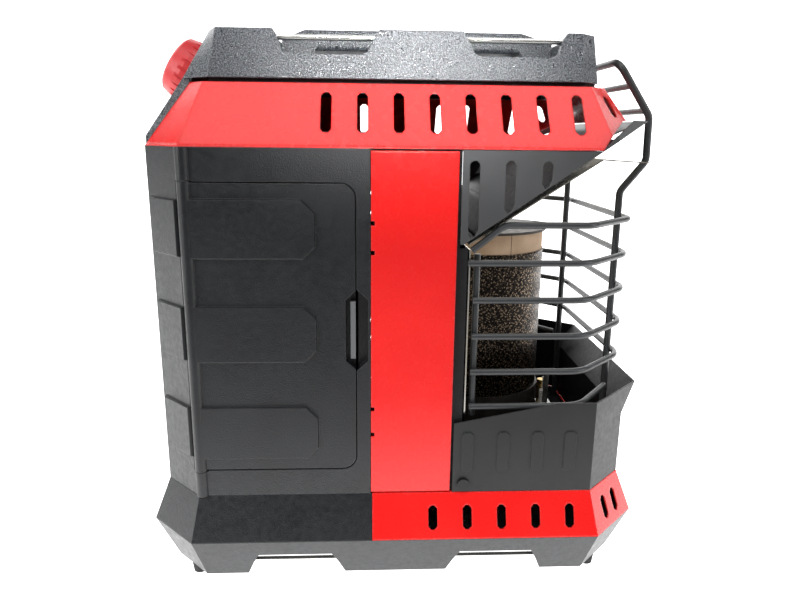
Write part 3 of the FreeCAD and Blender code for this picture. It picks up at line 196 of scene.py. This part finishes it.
def spread(finish, source, low, high, start=0.3, end=0.7):
    """Stretch a 0 to 1 value between two levels."""
    ranged = node(finish, "ShaderNodeMapRange")
    ranged.inputs["From Min"].default_value = start
    ranged.inputs["From Max"].default_value = end
    ranged.inputs["To Min"].default_value = low
    ranged.inputs["To Max"].default_value = high
    wire_up(finish, source, ranged.inputs["Value"])
    return ranged.outputs["Result"]


def tint(finish, source, dark, light, start=0.3, end=0.7):
    ramp = node(finish, "ShaderNodeValToRGB")
    ramp.color_ramp.elements[0].position = start
    ramp.color_ramp.elements[0].color = dark + (1,)
    ramp.color_ramp.elements[1].position = end
    ramp.color_ramp.elements[1].color = light + (1,)
    wire_up(finish, source, ramp.inputs["Fac"])
    shader = finish.node_tree.nodes["Principled BSDF"]
    wire_up(finish, ramp.outputs["Color"], shader.inputs["Base Color"])


def roughen(finish, source, low, high, start=0.3, end=0.7):
    shader = finish.node_tree.nodes["Principled BSDF"]
    wire_up(finish, spread(finish, source, low, high, start, end), shader.inputs["Roughness"])


def emboss(finish, height, depth, edge=0.0):
    """Raise the surface by a height pattern in metres, and round the light on its edges."""
    bump = node(finish, "ShaderNodeBump")
    if edge:
        rounded = node(finish, "ShaderNodeBevel", samples=6)
        rounded.inputs["Radius"].default_value = edge
        wire_up(finish, rounded.outputs["Normal"], bump.inputs["Normal"])
    bump.inputs["Distance"].default_value = depth
    wire_up(finish, height, bump.inputs["Height"])
    shader = finish.node_tree.nodes["Principled BSDF"]
    wire_up(finish, bump.outputs["Normal"], shader.inputs["Normal"])


def dress(finish, *names):
    for name in names:
        data = nodes[name].data
        data.materials.clear()
        data.materials.append(finish)


def moulded_black(name, colour, grain, depth, rough):
    finish = new_finish(name, colour, rough)
    fine = pebbles(finish, grain)
    broad = spots(finish, 35, 3.0)
    tint(finish, broad, tuple(0.8 * c for c in colour), tuple(1.25 * c for c in colour))
    roughen(finish, spots(finish, 260, 2.0), rough - 0.06, rough + 0.08)
    emboss(finish, fine, depth, 0.0009)
    return finish


black_grain = moulded_black("fine_grain_black", (0.009, 0.010, 0.0115), 1300, 0.00014, 0.38)
dress(black_grain, "base_tray")


# Four soft feet are pressed into bosses under the tray's corners.
# They are plain black rubber with a dull bloom.
def dull_rubber():
    finish = new_finish("foot_rubber", (0.012, 0.012, 0.012), 0.85)
    roughen(finish, spots(finish, 180, 3.0), 0.75, 0.95)
    emboss(finish, spots(finish, 900, 2.0), 0.0001)
    return finish


dress(dull_rubber(), "rubber_feet", "inlet_seal")


# Bright rods run behind the hand notches, two in the base and two in the cap.
# They are drawn steel with bright plating, and carry faint lengthwise lines from drawing.
def bright_plating():
    finish = new_finish("bright_plating", (0.78, 0.77, 0.74), 0.14, 1.0)
    roughen(finish, spots(finish, 90, 4.0, (0.05, 1, 1)), 0.10, 0.24)
    emboss(finish, spots(finish, 1500, 1.0, (0.02, 1, 1)), 0.00002)
    return finish


plating = bright_plating()
dress(plating, "base_rods", "cap_rods")


# The skirt is black moulded plastic behind and a red painted sheet in front.
# The red sheet is stamped with air slots and then powder coated, so it has a soft orange-peel gloss.
def gloss_red():
    finish = new_finish("gloss_red_coat", (0.80, 0.010, 0.009), 0.26)
    shader = finish.node_tree.nodes["Principled BSDF"]
    shader.inputs["Specular IOR Level"].default_value = 0.35
    shader.inputs["Coat Weight"].default_value = 0.3
    shader.inputs["Coat Roughness"].default_value = 0.06
    tint(finish, spots(finish, 20, 2.0), (0.77, 0.009, 0.008), (0.84, 0.013, 0.011))
    roughen(finish, spots(finish, 120, 3.0), 0.25, 0.29)
    emboss(finish, spots(finish, 420, 2.0), 0.00004, 0.0018)
    return finish


red_coat = gloss_red()
dress(black_grain, "rear_skirt")
dress(red_coat, "front_skirt")


# Folded sheets inside the casing are blackened against heat and glare.
# They show only through the slots and past the burner.
def blackened_sheet():
    finish = new_finish("blackened_sheet", (0.008, 0.008, 0.009), 0.6)
    finish.node_tree.nodes["Principled BSDF"].inputs["Specular IOR Level"].default_value = 0.25
    tint(finish, spots(finish, 60, 4.0), (0.005, 0.005, 0.006), (0.012, 0.012, 0.013))
    roughen(finish, spots(finish, 300, 3.0), 0.52, 0.70)
    emboss(finish, spots(finish, 700, 2.0), 0.00006)
    return finish


blackened = blackened_sheet()
dress(blackened, "floor_plate", "partition", "fire_wall", "deck_plate")


# The rear casing is one tall moulding that wraps the rear and both sides as far as the red panels.
# It is the same black plastic as the base, and its near wall has the opening that the door fills.
dress(black_grain, "rear_casing")


# The door is a ribbed moulding of the same grain, hung on one long steel pin.
# A grey catch stands in the finger recess at its free edge.
def grey_catch():
    finish = new_finish("grey_catch", (0.13, 0.135, 0.14), 0.4)
    roughen(finish, spots(finish, 400, 2.0), 0.34, 0.5)
    emboss(finish, spots(finish, 900, 2.0), 0.00005)
    return finish


dress(black_grain, "cylinder_door")
dress(grey_catch(), "door_catch")


# Plated and machined fittings: pins, stem, brackets and screws.
# They are bare zinc-plated steel with fine tool marks.
def plated_steel():
    finish = new_finish("plated_steel", (0.46, 0.46, 0.45), 0.35, 1.0)
    roughen(finish, spots(finish, 250, 3.0), 0.28, 0.5)
    emboss(finish, spots(finish, 1200, 2.0), 0.00003)
    return finish


plated = plated_steel()
dress(plated, "door_hinge_pin", "valve_bracket", "pilot_bracket", "valve_stem", "push_collar",
      "handle_screws", "thermocouple")


# Red side panels close the middle of both long sides.
# They are bent sheets with the skirt's gloss red coat, and their front is left bare.
dress(red_coat, "near_panel", "far_panel")


# The top band is a slotted sheet in the same red, folded round the casing's top and leaning in over it.
# A dark strip with a foam finish stands on its inner flange at the sides and front, and closes the gap
# under the cap; its near-black colour is painted shade for that shadowed gap.
def gap_shade_strip_finish():
    # Painted shade: the strip's near-black colour stands for the shade in the gap between band and cap.
    finish = new_finish("painted_gap_shade", (0.010, 0.010, 0.010), 0.9)
    roughen(finish, spots(finish, 400, 3.0), 0.82, 0.96)
    emboss(finish, spots(finish, 1500, 2.0), 0.0002)
    return finish


def shade_strip_under_cap():
    flange_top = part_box("top_band")[1].z
    cap = nodes["top_cap"]
    corners = [cap.matrix_world @ point.co for point in cap.data.vertices]
    cap_edge = min(point.z for point in corners if point.x > -0.10)
    half, corner, front, cut, rear = 0.0880, 0.0775, 0.1415, 0.1310, -0.1345
    thin, sunk, pressed = 0.0012, 0.0008, 0.0010
    outline = [(rear, -half), (cut, -half), (front, -corner), (front, corner), (cut, half), (rear, half)]
    inner = [(x - thin if x > 0 else x + thin, y * (half - thin) / half) for x, y in outline]
    points = []
    for low_z in (flange_top - sunk, max(cap_edge, flange_top) + pressed):
        points += [(x, y, low_z) for x, y in outline] + [(x, y, low_z) for x, y in inner]
    count = len(outline)
    last = count - 1
    faces = [(0, 2 * count, 3 * count, count), (last, count + last, 3 * count + last, 2 * count + last)]
    for i in range(last):
        j = i + 1
        faces.append((i, j, 2 * count + j, 2 * count + i))
        faces.append((count + j, count + i, 3 * count + i, 3 * count + j))
        faces.append((j, i, count + i, count + j))
        faces.append((2 * count + i, 2 * count + j, 3 * count + j, 3 * count + i))
    mesh = bpy.data.meshes.new("cap_gap_shade_strip")
    mesh.from_pydata(points, [], faces)
    mesh.materials.append(gap_shade_strip_finish())
    strip = bpy.data.objects.new("cap_gap_shade_strip", mesh)
    bpy.context.scene.collection.objects.link(strip)
    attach(strip, "housing")


dress(red_coat, "top_band")
shade_strip_under_cap()


# The top cap is a separate moulding with a much coarser pebbled texture; its glitter is painted highlight,
# pale grey flecks on the pebble tops.
# The carry handle bridges its well, and is moulded with the same texture.
def pebbled_black():
    finish = new_finish("coarse_pebble_black", (0.06, 0.065, 0.072), 0.30)
    shader = finish.node_tree.nodes["Principled BSDF"]
    shader.inputs["Specular IOR Level"].default_value = 0.8
    pebble = spots(finish, 1000, 1.5)
    # Painted highlight: the pebble tops are tinted pale grey as glitter, and the hollows near-black.
    tint(finish, pebble, (0.009, 0.010, 0.012), (0.17, 0.19, 0.215), 0.42, 0.66)
    roughen(finish, spots(finish, 500, 2.0), 0.24, 0.40)
    emboss(finish, pebble, 0.0005, 0.0012)
    return finish


cap_grain_and_glint = pebbled_black()
dress(cap_grain_and_glint, "top_cap", "carry_handle")


# The control knob is a ribbed moulding in satin red, fixed on the valve stem at the rear top corner.
# Its skin is matt from the mould, with faint patches that fingers have polished.
def satin_red():
    finish = new_finish("satin_red_plastic", (0.66, 0.035, 0.040), 0.38)
    tint(finish, spots(finish, 60, 3.0), (0.60, 0.030, 0.034), (0.70, 0.042, 0.046))
    roughen(finish, spots(finish, 350, 2.0), 0.32, 0.48)
    emboss(finish, spots(finish, 900, 2.0), 0.00006)
    return finish


dress(satin_red(), "control_knob")


# Gas parts: a machined valve, orifice holder and pilot, a die-cast regulator and drawn tubes.
# All of it is hidden inside the casing until the door is opened.
def machined_brass():
    finish = new_finish("machined_brass", (0.62, 0.44, 0.18), 0.3, 1.0)
    roughen(finish, spots(finish, 300, 3.0), 0.24, 0.42)
    emboss(finish, spots(finish, 900, 2.0), 0.00004)
    return finish


def cast_zinc():
    finish = new_finish("cast_zinc", (0.48, 0.48, 0.47), 0.5, 0.9)
    roughen(finish, spots(finish, 200, 3.0), 0.42, 0.62)
    emboss(finish, spots(finish, 600, 3.0), 0.00015)
    return finish


def drawn_tube():
    finish = new_finish("drawn_tube", (0.68, 0.68, 0.67), 0.3, 1.0)
    roughen(finish, spots(finish, 200, 3.0), 0.25, 0.4)
    emboss(finish, spots(finish, 900, 2.0), 0.00003)
    return finish


dress(machined_brass(), "gas_valve", "orifice_holder", "pilot_burner")
dress(cast_zinc(), "regulator")
dress(drawn_tube(), "supply_tube", "burner_tube")


# The hood and lower shield are folded sheets in a satin dark grey powder coat.
# The coat has a fine even texture and shows every fold as a soft bright line.
def grey_powder(name, colour, rough):
    finish = new_finish(name, colour, rough)
    tint(finish, spots(finish, 25, 3.0), tuple(0.9 * c for c in colour), tuple(1.12 * c for c in colour))
    roughen(finish, spots(finish, 300, 2.0), rough - 0.05, rough + 0.07)
    emboss(finish, spots(finish, 1100, 2.0), 0.00005, 0.0008)
    return finish


def paint_shade_inside_hood(finish, half_width, front):
    """Inside the side walls and behind the front bend the sheet is painted near-black, as painted shade
    for the hollow under the hood.
    """
    shader = finish.node_tree.nodes["Principled BSDF"]
    outer = shader.inputs["Base Color"].links[0].from_socket
    place = node(finish, "ShaderNodeTexCoord")
    parts = node(finish, "ShaderNodeSeparateXYZ")
    across = node(finish, "ShaderNodeMath", operation="ABSOLUTE")
    within = node(finish, "ShaderNodeMath", operation="LESS_THAN")
    behind = node(finish, "ShaderNodeMath", operation="LESS_THAN")
    both = node(finish, "ShaderNodeMath", operation="MULTIPLY")
    mixed = node(finish, "ShaderNodeMix", data_type="RGBA")
    within.inputs[1].default_value = half_width
    behind.inputs[1].default_value = front
    # Painted shade: the near-black colour that fills the inside of the hood.
    mixed.inputs[7].default_value = (0.004, 0.004, 0.004, 1)
    wire_up(finish, place.outputs["Object"], parts.inputs[0])
    wire_up(finish, parts.outputs["Y"], across.inputs[0])
    wire_up(finish, across.outputs[0], within.inputs[0])
    wire_up(finish, parts.outputs["X"], behind.inputs[0])
    wire_up(finish, within.outputs[0], both.inputs[0])
    wire_up(finish, behind.outputs[0], both.inputs[1])
    wire_up(finish, both.outputs[0], mixed.inputs[0])
    wire_up(finish, outer, mixed.inputs[6])
    wire_up(finish, mixed.outputs[2], shader.inputs["Base Color"])


def paint_shade_on_shield_lining(finish, centre_x):
    """The lower shield's inner faces, which look towards its own middle, are painted near-black as painted
    shade.
    """
    shader = finish.node_tree.nodes["Principled BSDF"]
    outer = shader.inputs["Base Color"].links[0].from_socket
    place = node(finish, "ShaderNodeTexCoord")
    away = node(finish, "ShaderNodeVectorMath", operation="SUBTRACT")
    level = node(finish, "ShaderNodeVectorMath", operation="MULTIPLY")
    facing = node(finish, "ShaderNodeVectorMath", operation="DOT_PRODUCT")
    inside = node(finish, "ShaderNodeMath", operation="LESS_THAN")
    mixed = node(finish, "ShaderNodeMix", data_type="RGBA")
    away.inputs[1].default_value = (centre_x, 0, 0)
    level.inputs[1].default_value = (1, 1, 0)
    inside.inputs[1].default_value = -0.005
    # Painted shade: near-black on the faces that look into the shield's hollow.
    mixed.inputs[7].default_value = (0.004, 0.004, 0.005, 1)
    wire_up(finish, place.outputs["Object"], away.inputs[0])
    wire_up(finish, away.outputs["Vector"], level.inputs[0])
    wire_up(finish, level.outputs["Vector"], facing.inputs[0])
    wire_up(finish, place.outputs["Normal"], facing.inputs[1])
    wire_up(finish, facing.outputs["Value"], inside.inputs[0])
    wire_up(finish, inside.outputs[0], mixed.inputs[0])
    wire_up(finish, outer, mixed.inputs[6])
    wire_up(finish, mixed.outputs[2], shader.inputs["Base Color"])


powder = grey_powder("grey_powder_coat", (0.020, 0.0205, 0.0205), 0.42)
powder.node_tree.nodes["Principled BSDF"].inputs["Specular IOR Level"].default_value = 0.3
paint_shade_on_shield_lining(powder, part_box("burner_plenum")[1].x)
dress(powder, "lower_shield")
hood_coat = grey_powder("hood_powder_coat", (0.055, 0.056, 0.058), 0.42)
paint_shade_inside_hood(hood_coat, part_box("hood")[1].y - 0.0006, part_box("near_panel")[1].x + 0.1)
dress(hood_coat, "hood")


# Reflector and deflector are bright rolled stainless sheet, folded and held behind and above the burner.
# Rolling leaves fine upright lines, and the heat tints the sheet the colour of straw.
def bright_sheet():
    finish = new_finish("bright_rolled_sheet", (0.78, 0.75, 0.68), 0.2, 1.0)
    tint(finish, spots(finish, 9, 3.0), (0.72, 0.66, 0.54), (0.82, 0.80, 0.76))
    roughen(finish, spots(finish, 160, 4.0, (1, 1, 0.05)), 0.14, 0.30)
    emboss(finish, spots(finish, 1400, 1.0, (1, 1, 0.03)), 0.00003)
    return finish


stainless = bright_sheet()
dress(stainless, "reflector", "deflector")


# The burner: a blackened plenum and cap, a base ring, and a collar of tan ceramic fibre board.
# Heat has darkened the steel unevenly.
def heat_dark_steel():
    finish = new_finish("heat_dark_steel", (0.05, 0.045, 0.042), 0.5, 0.8)
    tint(finish, spots(finish, 45, 4.0), (0.030, 0.027, 0.026), (0.085, 0.075, 0.066))
    roughen(finish, spots(finish, 200, 3.0), 0.4, 0.62)
    emboss(finish, spots(finish, 800, 2.0), 0.00008)
    return finish


def butt_seam(finish):
    """The strip of board meets end to end in one thin upright line on each side."""
    low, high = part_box("burner_collar")
    shader = finish.node_tree.nodes["Principled BSDF"]
    board = shader.inputs["Base Color"].links[0].from_socket
    place = node(finish, "ShaderNodeTexCoord")
    parts = node(finish, "ShaderNodeSeparateXYZ")
    line = node(finish, "ShaderNodeMath", operation="COMPARE")
    mixed = node(finish, "ShaderNodeMix", data_type="RGBA")
    line.inputs[1].default_value = low.x + 0.55 * (high.x - low.x)
    line.inputs[2].default_value = 0.0003
    mixed.inputs[7].default_value = (0.10, 0.065, 0.04, 1)
    wire_up(finish, place.outputs["Object"], parts.inputs[0])
    wire_up(finish, parts.outputs["X"], line.inputs[0])
    wire_up(finish, line.outputs[0], mixed.inputs[0])
    wire_up(finish, board, mixed.inputs[6])
    wire_up(finish, mixed.outputs[2], shader.inputs["Base Color"])


def fibre_board():
    finish = new_finish("ceramic_fibre_board", (0.56, 0.42, 0.30), 0.9)
    tint(finish, spots(finish, 45, 5.0), (0.42, 0.285, 0.18), (0.57, 0.41, 0.285))
    roughen(finish, spots(finish, 300, 3.0), 0.82, 0.96)
    emboss(finish, spots(finish, 700, 4.0), 0.0003)
    butt_seam(finish)
    return finish


dark_steel = heat_dark_steel()
dress(dark_steel, "burner_plenum", "burner_cap", "burner_base")
dress(fibre_board(), "burner_collar")


# The burner screen is fine woven heat-proof wire, bent round the plenum.
# Each wire crosses over and under, so the cloth is a field of small bumps that catch the light; the pale
# tan dots in its colour are painted highlights on the dark brown wire.
def woven_wire():
    finish = new_finish("dark_wire_with_painted_glints", (0.05, 0.040, 0.033), 0.3, 0.9)
    # Painted highlight: pale tan dots on the dark wire stand for the glints on the crossings.
    tint(finish, pebbles(finish, 600, 0.1), (0.36, 0.265, 0.185), (0.016, 0.013, 0.011), 0.14, 0.46)
    roughen(finish, spots(finish, 800, 2.0), 0.22, 0.4)
    return finish


def weave_screen():
    low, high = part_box("burner_screen")
    radius = high.y
    centre_x = high.x - radius
    back_x = low.x
    reach = math.acos((back_x - centre_x) / radius)
    pitch = 0.00235
    columns = int(2 * reach * radius / pitch)
    rows = int((high.z - low.z) / pitch)
    depth = 0.0006
    steps = 2
    points = []
    for j in range(rows * steps + 1):
        for i in range(columns * steps + 1):
            over = math.cos(math.pi * i / steps) * math.cos(math.pi * j / steps)
            gap = 0.5 + 0.5 * over
            size = radius - depth * gap - 0.00005
            angle = -reach + 2 * reach * i / (columns * steps)
            z = low.z + (high.z - low.z) * j / (rows * steps)
            points.append((centre_x + size * math.cos(angle), size * math.sin(angle), z))
    across = columns * steps + 1
    faces = []
    for j in range(rows * steps):
        for i in range(columns * steps):
            a = j * across + i
            faces.append((a, a + 1, a + across + 1, a + across))
    mesh = bpy.data.meshes.new("woven_screen")
    mesh.from_pydata(points, [], faces)
    for face in mesh.polygons:
        face.use_smooth = True
    mesh.materials.append(woven_wire())
    piece = bpy.data.objects.new("woven_screen", mesh)
    bpy.context.scene.collection.objects.link(piece)
    thick = piece.modifiers.new("cloth_thickness", "SOLIDIFY")
    thick.thickness = 0.0006
    thick.offset = -1
    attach(piece, "housing")
    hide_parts("burner_screen")


weave_screen()


# The guard is round drawn wire, bent in fixtures and welded where rails cross the upright wires.
# The finished cage is powder coated a satin grey, a little darker than the hood.
guard_coat = grey_powder("guard_powder_coat", (0.036, 0.038, 0.040), 0.36)
dress(guard_coat, "guard_front_wire", "guard_cross_wires", "guard_side_wires",
      *["guard_rail_%d" % number for number in range(1, 7)])


# The pilot group stands in front of the burner, on its own small bracket.
# Its spark electrode is a white glazed ceramic rod with a steel needle through it.
def white_glaze():
    finish = new_finish("white_glaze", (0.80, 0.79, 0.76), 0.25)
    roughen(finish, spots(finish, 300, 2.0), 0.2, 0.32)
    emboss(finish, spots(finish, 500, 2.0), 0.00004)
    return finish


dress(white_glaze(), "spark_electrode")


# The tip-over switch and the igniter have plain black housings inside the casing.
# The shield's screws are steel with a black oxide finish.
def black_oxide():
    finish = new_finish("black_oxide", (0.02, 0.02, 0.021), 0.35, 0.6)
    roughen(finish, spots(finish, 500, 2.0), 0.28, 0.45)
    emboss(finish, spots(finish, 1200, 2.0), 0.00003)
    return finish


dress(black_oxide(), "shield_screws")
dress(blackened, "tip_switch", "igniter")
